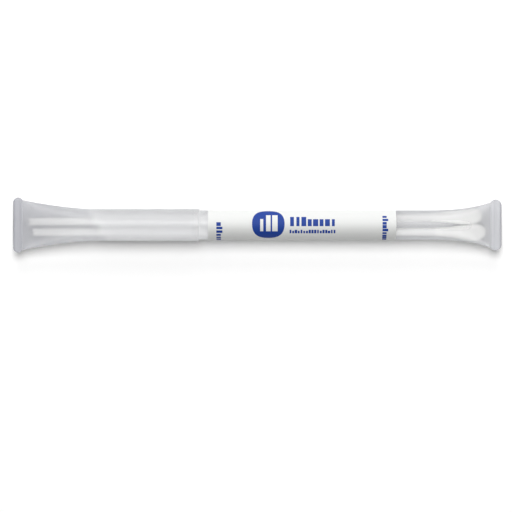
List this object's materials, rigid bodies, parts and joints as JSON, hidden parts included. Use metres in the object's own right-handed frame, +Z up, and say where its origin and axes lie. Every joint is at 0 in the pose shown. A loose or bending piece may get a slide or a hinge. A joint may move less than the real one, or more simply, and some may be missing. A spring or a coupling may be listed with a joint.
{
  "type": "specimen swab tube",
  "caption": "Translucent specimen transport tube lying on its side, with sealed flat ends, a long pull-off cap, a paper label, a clear tamper seal and swabs inside.",
  "frame": {"origin": "under the middle of the closed tube, on the surface that it lies on", "axes": "+X along the tube, from the cap's sealed end to the tube's sealed end; +Y across both flat sealed ends; +Z up"},
  "size_m": [0.164, 0.0184, 0.0109],
  "materials": {
    "frosted_polypropylene": "extruded, frosted and translucent",
    "label_paper": "satin coated white",
    "clear_film": "clear and glossy",
    "white_polystyrene": "extruded, soft gloss",
    "cotton_fibre": "wound fibre, fluffy"
  },
  "bodies": {
    "tube_body": {"tube": "frosted_polypropylene", "label": "label_paper", "seal_film_tube_side": "clear_film", "swab_a_shaft": "white_polystyrene", "swab_a_bud": "cotton_fibre", "swab_b_shaft": "white_polystyrene", "swab_b_bud": "cotton_fibre"},
    "cap_body": {"cap": "frosted_polypropylene", "seal_film_cap_side": "clear_film"}
  },
  "joints": [
    {"name": "cap_pull", "type": "slide", "parent": "tube_body", "child": "cap_body", "axis": [-1, 0, 0], "range_m": [0, 0.06]}
  ]
}
